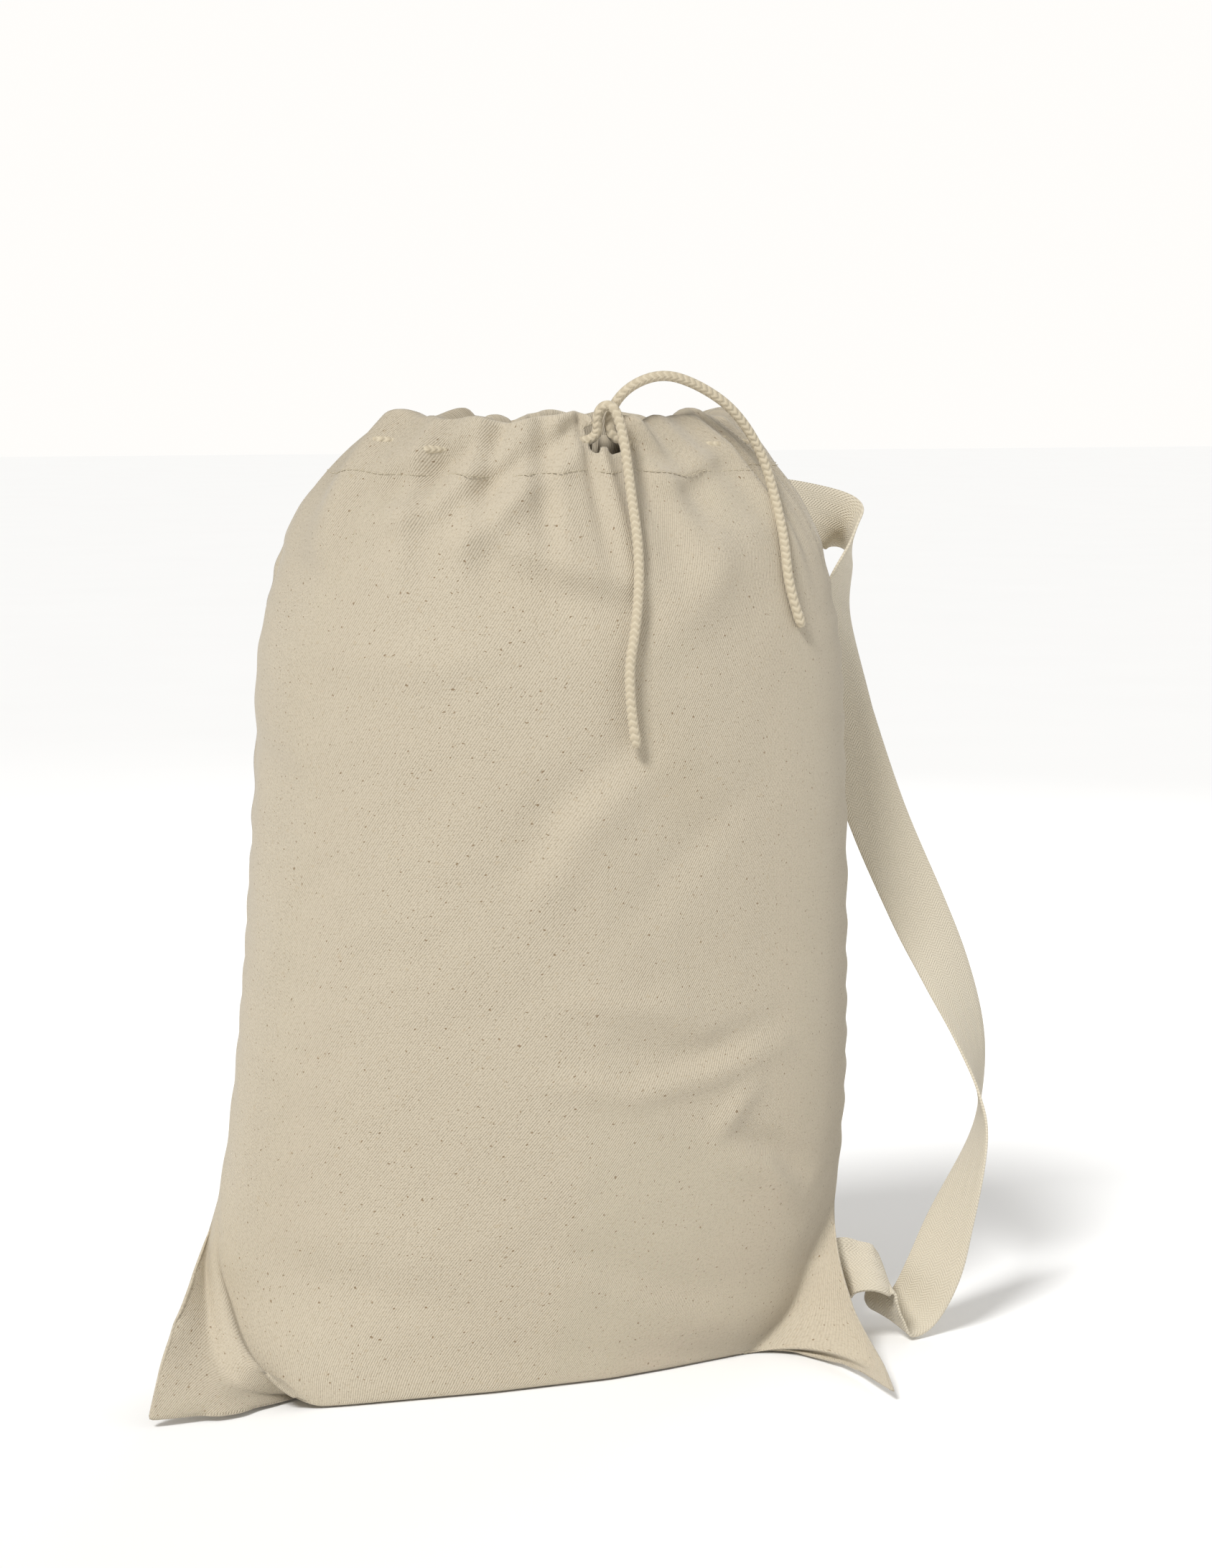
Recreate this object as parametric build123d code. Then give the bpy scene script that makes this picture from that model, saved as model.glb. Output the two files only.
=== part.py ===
from build123d import *
import math
import os

# Drawstring picking bag of plain cotton canvas, standing on its base.
# Millimetres, +Z up, X across the front, front panel towards -Y.
# The origin is the centre of the flat patch that the bag stands on.

# ---- cloth ----------------------------------------------------------------
canvas = 1.0                 # thickness of one layer of canvas
body_half_width = 204.0      # widest half width, near the bottom
body_half_depth = 91.0       # deepest half depth, at mid height
standing_height = 598.0      # floor to the gathered top edge
mouth_half_width = 112.0     # gathered mouth
mouth_half_depth = 34.0
base_half_depth = 68.0       # flat patch on the floor
lean = 31.0                  # how far the bag leans to its right
end_roundness = 0.45         # end radius of a section, as a share of its half depth
seam_drop = 30.0             # how far the seams come forward near the floor
seam_drop_height = 220.0     # above this height the side seams run straight up

# ---- hem with the drawcord channel ------------------------------------------
hem_height = 32.0
channel_gap = 10.4           # room for the cord between panel and hem
exit_x = 53.0                # where both cord ends leave the hem
exit_width = 20.0
exit_depth = 22.0

# ---- seams -------------------------------------------------------------------
seam_allowance = 9.0
seam_thickness = 3.0
stitch_thickness = 0.8
stitch_row = 1.6
hem_stitch_inset = 2.4       # stitch row above the lower edge of the hem

# ---- cotton cord ---------------------------------------------------------------
cord_diameter = 6.35

# ---- webbing strap ---------------------------------------------------------------
strap_width = 40.0
strap_thickness = 1.8
strap_clearance = 7.6        # between the sewn ends and the free loop
upper_anchor_drop = 62.0     # below the top edge
lower_anchor_height = 46.0   # above the floor
box_inset = 4.0              # sewn box inside the edge of the webbing

os.makedirs("parts", exist_ok=True)

# Sections of the filled bag: height share, half width share, half depth,
# sideways shift share.  The mouth closes the list.
PROFILE = (
    (0.000, 0.930, base_half_depth, 0.10),
    (0.025, 0.990, base_half_depth + 7.0, 0.16),
    (0.100, 1.015, body_half_depth - 8.0, 0.36),
    (0.235, 1.000, body_half_depth - 3.0, 0.76),
    (0.435, 0.970, body_half_depth, 1.00),
    (0.635, 0.945, body_half_depth, 1.08),
    (0.785, 0.915, body_half_depth - 9.0, 1.08),
    (0.885, 0.835, body_half_depth - 25.0, 1.06),
    (0.945, 0.715, body_half_depth - 42.0, 1.06),
)
HEM = (1 - hem_height / 2 / standing_height, 0.640, mouth_half_depth + 7.5, 1.08)
MOUTH = (1.0, mouth_half_width / body_half_width, mouth_half_depth, 1.10)


def oval(half_width, half_depth, inset, centre_x, z):
    """Closed section of four tangent arcs, made smaller by inset all round."""
    end = half_depth * end_roundness
    side = (half_width**2 + half_depth**2 - 2 * half_width * end) / (2 * (half_depth - end))
    lean_angle = math.atan2(half_width - end, side - half_depth)
    a, b, r, big = half_width - inset, half_depth - inset, end - inset, side - inset
    tx = big * math.sin(lean_angle)
    ty = big * math.cos(lean_angle) - (side - half_depth)
    point = {
        "right_front": (tx, -ty), "right": (a, 0), "right_back": (tx, ty),
        "back": (0, b), "left_back": (-tx, ty), "left": (-a, 0),
        "left_front": (-tx, -ty), "front": (0, -b),
    }
    point = {name: Vector(x + centre_x, y, z) for name, (x, y) in point.items()}
    arcs = (
        ("left_front", "front", "right_front"), ("right_front", "right", "right_back"),
        ("right_back", "back", "left_back"), ("left_back", "left", "left_front"),
    )
    return Wire([ThreePointArc(*(point[name] for name in arc)).edge() for arc in arcs])


def section(share, inset):
    height, width, depth, shift = share
    return oval(width * body_half_width, depth, inset, shift * lean, height * standing_height)


def bag_volume(inset):
    """Closed loft of the whole bag, its cloth moved inwards by inset."""
    return Solid.make_loft([section(share, inset) for share in PROFILE + (HEM, MOUTH)])


def between(z_low, z_high):
    return Pos(0, 0, (z_low + z_high) / 2) * Box(900, 500, z_high - z_low)


def seam_line(offset):
    """Side view of the seam: straight down, then forward towards the floor."""
    top = standing_height + 20.0
    return [(offset, top), (offset, seam_drop_height), (offset - seam_drop, 55.0),
            (offset - seam_drop, -20.0)]


def side_slab(points_low, points_high):
    """Solid that fills the side view between two lines and runs across X."""
    outline = Polyline(*points_low, *reversed(points_high), close=True)
    return extrude(Plane.YZ * make_face(outline), amount=450, both=True)


def horn(root, root_size, tip, tip_size, middle, middle_size):
    """Corner of the bag that stands out: a loft along a bent line."""
    places = [Vector(*root), Vector(*middle), Vector(*tip)]
    sizes = [root_size, middle_size, tip_size]
    faces = []
    for index, (place, (wide, thick)) in enumerate(zip(places, sizes)):
        ahead = places[min(index + 1, 2)] - places[max(index - 1, 0)]
        up = Vector(0, 0, 1)
        frame = Plane(origin=place, z_dir=ahead, x_dir=up - ahead * (up.dot(ahead) / ahead.dot(ahead)))
        faces.append((frame * Ellipse(wide, thick)).face().outer_wire())
    return Solid.make_loft(faces)


def save(name, shape):
    shape = Compound(children=list(shape.solids())) if len(shape.solids()) > 1 else shape.solids()[0]
    shape.label = name
    export_step(shape, f"parts/{name}.step")
    print(f"{name}: {len(shape.solids())} solid(s), {shape.volume / 1000:.2f} cm3")


# ---- panels ------------------------------------------------------------------
outside = bag_volume(0)
inside = bag_volume(canvas)
base_lift = between(canvas, standing_height + 1)
hollow = inside & base_lift

left_corner = horn((-150, -30, 46), (42, 20), (-246, -80, 6), (5, 3), (-200, -57, 26), (26, 5))
right_corner = horn((170, -40, 40), (34, 16), (197, -176, 6), (6, 3.5), (207, -98, 18), (15, 5))
cloth = (outside + left_corner + right_corner) - hollow
front_side = side_slab([(-300, standing_height + 20), (-300, -20)], seam_line(0))
exit_notch = Pos(exit_x, -mouth_half_depth, standing_height - exit_depth / 2 + 10) * Box(
    exit_width, 60, exit_depth + 20)

save("front_panel", (cloth & front_side) - exit_notch)
save("back_panel", cloth - front_side)

# ---- hem with its drawcord channel ------------------------------------------
hem_low = standing_height - hem_height
channel_depth = canvas + channel_gap
hem_zone = between(hem_low, standing_height)
channel = (inside & between(hem_low + canvas, standing_height - canvas)) - bag_volume(channel_depth)
hem = (inside & hem_zone) - bag_volume(channel_depth + canvas) - channel
save("front_hem", (hem & front_side) - exit_notch)
save("back_hem", hem - front_side)

# ---- stitching of the hem, a raised row round the outside ----------------------
row_low = hem_low + hem_stitch_inset
skin = bag_volume(-stitch_thickness) - outside
save("hem_stitching", skin & between(row_low, row_low + stitch_row))

# ---- tacks that stop the cord exit from tearing ---------------------------------
tack_reach = exit_width / 2 + 1.5 * stitch_row
tack = Box(stitch_row, 60, exit_depth)
tack_places = [Pos(exit_x + side * tack_reach, -mouth_half_depth, standing_height - exit_depth / 2 - 2)
               for side in (-1, 1)]
save("exit_tacks", skin & (tack_places[0] * tack + tack_places[1] * tack))

# ---- seam allowances inside the bag ----------------------------------------------
half_seam = seam_thickness / 2
seam_slab = side_slab(seam_line(-half_seam), seam_line(half_seam))
seam_band = (hollow - (bag_volume(canvas + seam_allowance) & between(
    canvas + seam_allowance, 2 * standing_height))) & seam_slab & between(0, hem_low)
low = between(-1, canvas + seam_allowance)
save("bottom_seam", seam_band & low)
sides = seam_band - low
save("left_side_seam", sides & Pos(-450, 0, 300) * Box(900, 500, 900))
save("right_side_seam", sides & Pos(450, 0, 300) * Box(900, 500, 900))

# ---- drawcord ----------------------------------------------------------------------
# One cord runs round inside the hem and both ends come out at the exit notch.
hem_middle = standing_height - hem_height / 2
left_cut = exit_x - 18.4     # where the left tail takes over from the run
right_cut = exit_x + 18.4


def tube(path, diameter):
    start = path.edges()[0]
    profile = Plane(origin=start @ 0, z_dir=start % 0) * Circle(diameter / 2)
    return sweep(profile, path=path)


run_loop = section(HEM, canvas + channel_gap / 2)
run_gap = Pos((left_cut + right_cut) / 2, -50, hem_middle) * Box(right_cut - left_cut, 100, 40)
save("drawcord_run", tube(run_loop, cord_diameter) - run_gap)

left_tail = [
    (35, -34.5, 582), (51, -34.5, 582), (48.5, -38, 602), (57.5, -44, 606), (62, -50, 587),
    (63, -61, 553), (63.5, -77, 516), (59, -87, 478), (49, -95, 438), (55, -97, 400),
]
right_tail = [
    (71, -34.5, 582), (58.2, -34.5, 582), (58.2, -34, 602), (71, -36, 617), (92, -38, 624),
    (115, -37, 617), (139, -35.5, 602), (158, -32, 577), (166, -36, 549), (169, -47, 520),
    (168, -57, 491), (177, -57, 467),
]


def cord(name, points):
    """Straight runs joined by tangent arcs, as large as the runs allow."""
    points = [Vector(*point) for point in points]
    radii = []
    for before, corner, after in zip(points, points[1:], points[2:]):
        turn = (corner - before).get_angle(after - corner)
        shorter = min((corner - before).length, (after - corner).length)
        radii.append(0.45 * shorter / math.tan(math.radians(turn / 2)))
    path = FilletPolyline(*points, radius=radii)
    print(name, "radii", [round(radius) for radius in radii], "length", round(path.length))
    solid = tube(path, cord_diameter)
    print(name, "volume share", round(solid.volume / (path.length * math.pi * cord_diameter**2 / 4), 3))
    save(name, solid)


cord("drawcord_left_tail", left_tail)
cord("drawcord_right_tail", right_tail)

# ---- webbing strap -------------------------------------------------------------------
# Stations along the strap: outward from the side, depth, height share between
# the two anchors; then the direction across the webbing.
strap_side = lean + body_half_width - 5.0
upper_anchor = standing_height - upper_anchor_drop
STRAP = (
    ((-134, 57.5, 1.006), (0.02, 0.44, -0.90)), ((-112, 54, 1.006), (0.03, 0.40, -0.91)),
    ((-86, 54.5, 1.004), (0.14, -0.18, -0.97)), ((-50, 54, 1.004), (0.06, 0.00, -1.00)),
    ((-15, 54, 0.998), (-0.02, -0.18, -0.98)), ((4, 57, 0.988), (-0.10, -0.20, -0.97)),
    ((19, 61, 0.980), (-0.18, 0.05, -0.98)), ((26, 58, 0.972), (-0.02, 0.60, -0.80)),
    ((26, 52, 0.955), (0.21, 0.82, -0.53)), ((23, 49, 0.935), (0.40, 0.83, -0.38)),
    ((17, 47, 0.912), (0.52, 0.77, -0.38)), ((11, 44, 0.885), (0.66, 0.66, -0.36)),
    ((6, 40, 0.850), (0.81, 0.54, -0.21)), ((7, 38, 0.795), (0.95, 0.30, 0.10)),
    ((15, 37, 0.720), (0.96, 0.01, 0.28)), ((36, 32, 0.587), (0.94, -0.14, 0.32)),
    ((62, 24, 0.460), (0.95, -0.08, 0.30)), ((79, 14, 0.373), (0.93, 0.25, 0.22)),
    ((91, 2, 0.291), (0.80, 0.60, 0.00)), ((95, -8, 0.215), (0.45, 0.88, -0.12)),
    ((90, -16, 0.151), (0.12, 0.98, -0.16)), ((64, -31, 0.048), (-0.43, 0.90, -0.01)),
    ((50, -38, -0.011), (-0.58, 0.78, 0.23)), ((38, -36, -0.058), (-0.44, 0.80, 0.41)),
    ((23, -38, -0.076), (-0.32, 0.91, 0.26)), ((14, -41, -0.056), (-0.26, 0.96, 0.08)),
    ((13, -42, -0.034), (-0.08, 0.98, 0.12)), ((14, -43, -0.013), (0.18, 0.93, 0.32)),
    ((5, -45, 0.003), (0.26, 0.82, 0.51)), ((-6, -41, 0.005), (0.28, 0.70, 0.66)),
    ((-16, -35, 0.000), (-0.14, 0.18, 0.97)), ((-32, -26, -0.010), (-0.14, 0.18, 0.97)),
)


STEPS = 3                    # ruled stretches between two stations


def eased(before, start, end, after, t):
    """Point on the smooth curve through start and end, t from 0 to 1."""
    pull = end - before, after - start
    return (start * (1 + t * t * (2 * t - 3)) + end * (t * t * (3 - 2 * t))
            + pull[0] * (0.5 * t * (1 - t) ** 2) - pull[1] * (0.5 * t * t * (1 - t)))


def smooth(points):
    """The stations with STEPS - 1 more between each pair."""
    ends = [points[0]] + points + [points[-1]]
    fine = [eased(*ends[index:index + 4], step / STEPS)
            for index in range(len(points) - 1) for step in range(STEPS)]
    return fine + [points[-1]]


def strap_frames():
    """Planes along the strap, square to its run, X across the webbing."""
    span = upper_anchor - lower_anchor_height
    spots = smooth([Vector(strap_side + out, depth, lower_anchor_height + share * span)
                    for (out, depth, share), across in STRAP])
    acrosses = smooth([Vector(*across) for spot, across in STRAP])
    frames = []
    for index, across in enumerate(acrosses):
        ahead = spots[min(index + 1, len(spots) - 1)] - spots[max(index - 1, 0)]
        ahead = ahead.normalized()
        across = (across - ahead * across.dot(ahead)).normalized()
        frames.append(Plane(origin=spots[index], x_dir=across, z_dir=ahead))
    return frames


def webbing(frames, thickness=strap_thickness, width=strap_width):
    wires = [(frame * Rectangle(width, thickness)).face().outer_wire() for frame in frames]
    return Solid.make_loft(wires, ruled=True)


def with_end(frames, end, distance):
    """The same frames with the first (0) or last (-1) moved along the strap."""
    frames = list(frames)
    frames[end] = frames[end].offset(distance)
    return frames


frames = strap_frames()
UPPER_SPLIT = 2 * STEPS                     # where the sewn ends meet the free loop
LOWER_SPLIT = (len(STRAP) - 2) * STEPS
gap = strap_clearance / 2
free_loop = with_end(with_end(frames[UPPER_SPLIT:LOWER_SPLIT + 1], 0, gap), -1, -gap)
save("shoulder_strap", webbing(free_loop))
bag_solid = outside + left_corner + right_corner
upper_end = webbing(with_end(frames[:UPPER_SPLIT + 1], -1, -gap))
lower_end = webbing(with_end(frames[LOWER_SPLIT:], 0, gap))
save("strap_upper_end", upper_end - bag_solid)
save("strap_lower_end", lower_end - bag_solid)

# ---- rows of stitching that hold the strap --------------------------------------
sewn_thickness = strap_thickness + 2 * stitch_thickness
box_half = strap_width / 2 - box_inset


def sideways(frame, distance):
    return Plane(origin=frame.origin + frame.x_dir * distance, x_dir=frame.x_dir, z_dir=frame.z_dir)


def long_row(frames, distance):
    return webbing([sideways(frame, distance) for frame in frames], sewn_thickness, stitch_row)


def cross_row(frame, distance):
    ends = [frame.offset(distance), frame.offset(distance + stitch_row)]
    return webbing(ends, sewn_thickness, 2 * box_half + stitch_row)


box_frames = with_end(with_end(frames[:UPPER_SPLIT + 1], 0, box_inset), -1, -box_inset)
box = (long_row(box_frames, box_half) + long_row(box_frames, -box_half)
       + cross_row(box_frames[0], 0) + cross_row(box_frames[-1], -stitch_row))
save("strap_upper_stitching", box - upper_end - bag_solid)
save("strap_lower_stitching", cross_row(frames[LOWER_SPLIT], strap_clearance + stitch_row) - lower_end - bag_solid)
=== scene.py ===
# %% [markdown]
# # A standing picking bag of natural cotton canvas
# The bag is two panels of twill sewn at the sides and the bottom, like a pillowcase.
# Its hem holds a cotton drawcord, and one webbing strap joins the upper back to the
# lower side seam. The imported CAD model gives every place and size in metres.

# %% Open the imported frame
import math
import bpy
import numpy as np
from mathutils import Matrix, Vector


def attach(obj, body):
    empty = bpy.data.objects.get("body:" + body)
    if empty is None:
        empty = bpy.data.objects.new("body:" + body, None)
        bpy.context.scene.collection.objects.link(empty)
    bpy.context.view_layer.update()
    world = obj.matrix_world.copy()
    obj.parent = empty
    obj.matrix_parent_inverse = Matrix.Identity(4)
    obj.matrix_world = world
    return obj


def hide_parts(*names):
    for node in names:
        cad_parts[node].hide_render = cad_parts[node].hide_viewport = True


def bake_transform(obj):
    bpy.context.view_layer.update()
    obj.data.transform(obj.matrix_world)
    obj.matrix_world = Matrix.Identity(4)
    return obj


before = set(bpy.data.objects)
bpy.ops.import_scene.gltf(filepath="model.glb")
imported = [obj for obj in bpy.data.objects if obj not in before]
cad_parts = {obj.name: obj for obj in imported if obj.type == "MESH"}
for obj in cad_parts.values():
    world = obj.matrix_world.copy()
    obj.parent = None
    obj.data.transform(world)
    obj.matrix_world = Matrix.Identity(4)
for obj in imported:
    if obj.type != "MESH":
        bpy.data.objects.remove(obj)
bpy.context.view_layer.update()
scene = bpy.context.scene

# %% [markdown]
# ## Camera
# A long lens a little to the bag's left and just above it keeps the sides straight.

# %% Camera
CAMERA_PLACE = (-0.576, -1.979, 0.632)
CAMERA_DOWN, CAMERA_ASIDE = 7.3, 18          # degrees
CAMERA_TURN = (math.radians(90 - CAMERA_DOWN), 0.0, math.radians(-CAMERA_ASIDE))
CAMERA_LENS, CAMERA_SENSOR = 76.0, 36.0      # millimetres


def deselect():
    """Leaves nothing selected, since operators act on all that is."""
    if bpy.context.object and bpy.context.object.mode != "OBJECT":
        bpy.ops.object.mode_set(mode="OBJECT")
    bpy.ops.object.select_all(action="DESELECT")


def take(piece):
    """Selects one piece alone and makes it the active one."""
    deselect()
    piece.select_set(True)
    bpy.context.view_layer.objects.active = piece


deselect()
bpy.ops.object.camera_add(location=CAMERA_PLACE, rotation=CAMERA_TURN)
camera = bpy.context.object
camera.name = "camera"
camera.data.lens = CAMERA_LENS
camera.data.sensor_width = CAMERA_SENSOR
scene.camera = camera
print("camera lens", camera.data.lens)

# %% [markdown]
# ## Floor and light
# Soft light from the upper left shows the folds. A large pale floor catches the shadow.

# %% Floor and lights
FLOOR_SIZE = 40.0
BAG_MIDDLE = (0.0, 0.0, 0.3)
SUN_FROM = Vector((-0.95, -0.85, 1.35))
SUN_STRENGTH, SUN_ANGLE = 2.6, 16            # the angle in degrees, wide for a soft shadow
SKY_COLOR = (1.0, 0.985, 0.96, 1)
SKY_LIGHT, SKY_SEEN = 0.44, 1.0              # how strongly it lights, and how bright it looks


def lamp(name, place, size, power):
    """A square soft box aimed at the bag."""
    deselect()
    bpy.ops.object.light_add(type="AREA", location=place)
    light = bpy.context.object
    light.name = name
    light.data.size = size
    light.data.energy = power
    aim = Vector(BAG_MIDDLE) - Vector(place)
    light.rotation_euler = aim.to_track_quat("-Z", "Y").to_euler()
    return light


deselect()
bpy.ops.mesh.primitive_plane_add(size=FLOOR_SIZE, location=(0, 0, 0))
floor = bpy.context.object
floor.name = "floor"
lamp("fill_light", (1.9, -1.6, 1.2), 2.0, 7)
lamp("rim_light", (1.3, 1.5, 1.6), 1.4, 14)
deselect()
bpy.ops.object.light_add(type="SUN", location=SUN_FROM)
key = bpy.context.object
key.name = "key_light"
key.data.energy = SUN_STRENGTH
key.data.angle = math.radians(SUN_ANGLE)
key.rotation_euler = (-SUN_FROM).to_track_quat("-Z", "Y").to_euler()
world = bpy.data.worlds.new("studio")
scene.world = world
world.use_nodes = True
sky = world.node_tree.nodes["Background"]
sky.inputs["Color"].default_value = SKY_COLOR
seen = world.node_tree.nodes.new("ShaderNodeLightPath")
strength = world.node_tree.nodes.new("ShaderNodeMath")
strength.operation = "MULTIPLY_ADD"
strength.inputs[1].default_value = SKY_SEEN - SKY_LIGHT
strength.inputs[2].default_value = SKY_LIGHT
world.node_tree.links.new(seen.outputs["Is Camera Ray"], strength.inputs[0])
world.node_tree.links.new(strength.outputs[0], sky.inputs["Strength"])
scene.view_settings.view_transform = "Standard"

# %% [markdown]
# ## Shader sums in Python
# A finish is easier to read as sums than as links. Each output of a node is wrapped,
# and + - * / on wrapped outputs add Math nodes.

# %% Wrapped sockets and finishes
class Wire:
    """One output of a node in a finish."""

    def __init__(self, finish, socket):
        self.finish, self.socket = finish, socket

    def sum(self, operation, first, second):
        return self.finish.add("Math", {"operation": operation}, {0: first, 1: second})

    def __add__(self, other):
        return self.sum("ADD", self, other)

    def __sub__(self, other):
        return self.sum("SUBTRACT", self, other)

    def __rsub__(self, other):
        return self.sum("SUBTRACT", other, self)

    def __mul__(self, other):
        return self.sum("MULTIPLY", self, other)

    def __truediv__(self, other):
        return self.sum("DIVIDE", self, other)

    __radd__ = __add__
    __rmul__ = __mul__


class Finish:
    """A material whose nodes are added by name."""

    def __init__(self, name):
        self.material = bpy.data.materials.new(name)
        self.material.use_nodes = True
        self.nodes = self.material.node_tree.nodes
        self.links = self.material.node_tree.links
        self.shader = self.nodes["Principled BSDF"]

    def add(self, kind, settings=None, values=None, output=0):
        """A node of that kind, its settings, then values or wires for its sockets."""
        node = self.nodes.new("ShaderNode" + kind)
        for key, value in (settings or {}).items():
            setattr(node, key, value)
        for key, value in (values or {}).items():
            self.put(node.inputs[key], value)
        return Wire(self, node.outputs[output])

    def put(self, socket, value):
        if isinstance(value, Wire):
            self.links.new(value.socket, socket)
        else:
            socket.default_value = value

    def set(self, **values):
        """Sets sockets of the main shader, underscores for spaces."""
        for key, value in values.items():
            self.put(self.shader.inputs[key.replace("_", " ")], value)

    def blend(self, share, first, second):
        """Colour between first and second."""
        sockets = {0: share, 6: first, 7: second}
        return self.add("Mix", {"data_type": "RGBA"}, sockets, output=2)

    def cut(self):
        """The cloth's own UV in metres: both together, then across and along."""
        both = self.add("UVMap", {"uv_map": "cut"})
        across = self.add("SeparateXYZ", {}, {0: both})
        return both, across, Wire(self, across.socket.node.outputs[1])

    def stretched(self, place, across, along):
        """Noise drawn out into streaks, by its scale each way."""
        return self.noise(self.add("Mapping", {}, {"Vector": place, "Scale": (across, along, 1)}), 1.0)

    def zigzag(self, across, along, width, slant, pitch):
        """Rows of V shapes, as wide as two widths, one to each pitch."""
        side = self.add("Math", {"operation": "PINGPONG"}, {0: across, 1: width})
        return self.wave((along + side * slant) / pitch)

    def noise(self, place, scale, detail=2.0, rough=0.5):
        return self.add("TexNoise", {}, {
            "Vector": place, "Scale": scale, "Detail": detail, "Roughness": rough})

    def over(self, value, low, high):
        """0 below low, 1 above high, smooth between."""
        return self.add("MapRange", {"interpolation_type": "SMOOTHSTEP"}, {
            "Value": value, "From Min": low, "From Max": high})

    def wave(self, phase):
        """A sine of phase, from 0 to 1; phase counts whole turns."""
        turn = phase * (2 * math.pi)
        return self.add("Math", {"operation": "SINE"}, {0: turn}) * 0.5 + 0.5

    def bump(self, height, depth, strength=1.0):
        return self.add("Bump", {}, {"Height": height, "Distance": depth, "Strength": strength})


print("finish helpers ready")

# %% [markdown]
# ## Canvas
# Unbleached twill is cream with brown seed flecks, a fine diagonal rib and faint warm
# stains from folding. The rib follows the cloth, so it reads the cut's own UV in metres.

# %% Canvas finish
TWILL_PITCH, TWILL_SLANT = 0.0015, 0.55
WEAVE_DEPTH, RUMPLE_DEPTH = 0.00045, 0.0045


def canvas_finish():
    finish = Finish("canvas_cloth")
    cut, across, along = finish.cut()
    rib = finish.wave((along * TWILL_SLANT - across) / TWILL_PITCH)
    slub = finish.stretched(cut, 900, 70)
    weft = finish.stretched(cut, 60, 800)
    cloud = finish.noise(cut, 7.0, 3.0)
    stain = finish.over(finish.noise(cut, 3.2, 2.0), 0.56, 0.74)
    fleck = finish.over(finish.noise(cut, 430.0, 1.0), 0.700, 0.735)
    fleck_faint = finish.over(finish.noise(cut, 240.0, 2.0), 0.62, 0.72)
    grain = finish.noise(cut, 700.0, 1.0)
    base = finish.blend(cloud, (0.500, 0.432, 0.328, 1), (0.555, 0.490, 0.378, 1))
    base = finish.blend(stain * 0.35, base, (0.450, 0.360, 0.215, 1))
    base = finish.blend(rib * 0.10, base, (0.36, 0.30, 0.20, 1))
    base = finish.blend(slub * 0.22, base, (0.68, 0.62, 0.49, 1))
    base = finish.blend(finish.over(grain, 0.45, 0.70) * 0.28, base, (0.33, 0.27, 0.18, 1))
    base = finish.blend(fleck_faint * 0.22, base, (0.42, 0.32, 0.19, 1))
    base = finish.blend(fleck * 0.75, base, (0.20, 0.125, 0.06, 1))
    weave = rib * 0.6 + slub * 0.5 + weft * 0.5
    rumple = finish.noise(cut, 24.0, 1.0, 0.50)
    ridge = finish.bump(weave + grain * 0.8, WEAVE_DEPTH, 0.9)
    shape = finish.add("Bump", {}, {"Height": rumple, "Distance": RUMPLE_DEPTH, "Strength": 0.50,
                                    "Normal": ridge})
    finish.set(Base_Color=base, Roughness=slub * 0.1 + 0.82, Normal=shape, Sheen_Weight=0.25,
               Sheen_Roughness=0.5, Specular_IOR_Level=0.2)
    return finish.material


canvas = canvas_finish()
canvas_back = canvas.copy()
canvas_back.name = "canvas_cloth_back"
print(canvas.name, len(canvas.node_tree.nodes), "nodes")

# %% [markdown]
# ## Webbing, cord and thread
# Webbing is a coarse herringbone of thick yarns. The cord is knitted, so its surface is
# rows of small V shapes. Thread is a smooth twist.

# %% Webbing, cord and thread finishes
CHEVRON_WIDTH, CHEVRON_PITCH, YARN_PITCH = 0.005, 0.0021, 0.00125
KNIT_WIDTH, KNIT_PITCH = 0.0025, 0.0042


def webbing_finish():
    finish = Finish("cotton_webbing")
    cut, across, along = finish.cut()
    chevron = finish.zigzag(across, along, CHEVRON_WIDTH, 0.9, CHEVRON_PITCH)
    yarn = finish.wave(across / YARN_PITCH)
    fuzz = finish.noise(cut, 420.0, 3.0)
    base = finish.blend(chevron * 0.42, (0.690, 0.630, 0.510, 1), (0.440, 0.380, 0.280, 1))
    base = finish.blend(finish.over(fuzz, 0.70, 0.78) * 0.5, base, (0.38, 0.29, 0.18, 1))
    base = finish.blend(finish.noise(cut, 9.0) * 0.25, base, (0.50, 0.43, 0.30, 1))
    height = chevron * 0.7 + yarn * 0.5 + fuzz * 0.3
    finish.set(Base_Color=base, Roughness=fuzz * 0.15 + 0.78, Sheen_Weight=0.2,
               Specular_IOR_Level=0.2, Normal=finish.bump(height, 0.0004))
    return finish.material


def cord_finish():
    finish = Finish("braided_cotton")
    cut, around, along = finish.cut()
    stitch = finish.zigzag(around, along, KNIT_WIDTH, 0.8, KNIT_PITCH)
    fuzz = finish.noise(cut, 500.0, 3.0)
    base = finish.blend(stitch * 0.35, (0.600, 0.525, 0.390, 1), (0.330, 0.265, 0.170, 1))
    base = finish.blend(finish.over(fuzz, 0.68, 0.76) * 0.6, base, (0.30, 0.22, 0.13, 1))
    finish.set(Base_Color=base, Roughness=0.85, Sheen_Weight=0.2, Specular_IOR_Level=0.2,
               Normal=finish.bump(stitch * 0.8 + fuzz * 0.4, 0.0006))
    return finish.material


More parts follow.
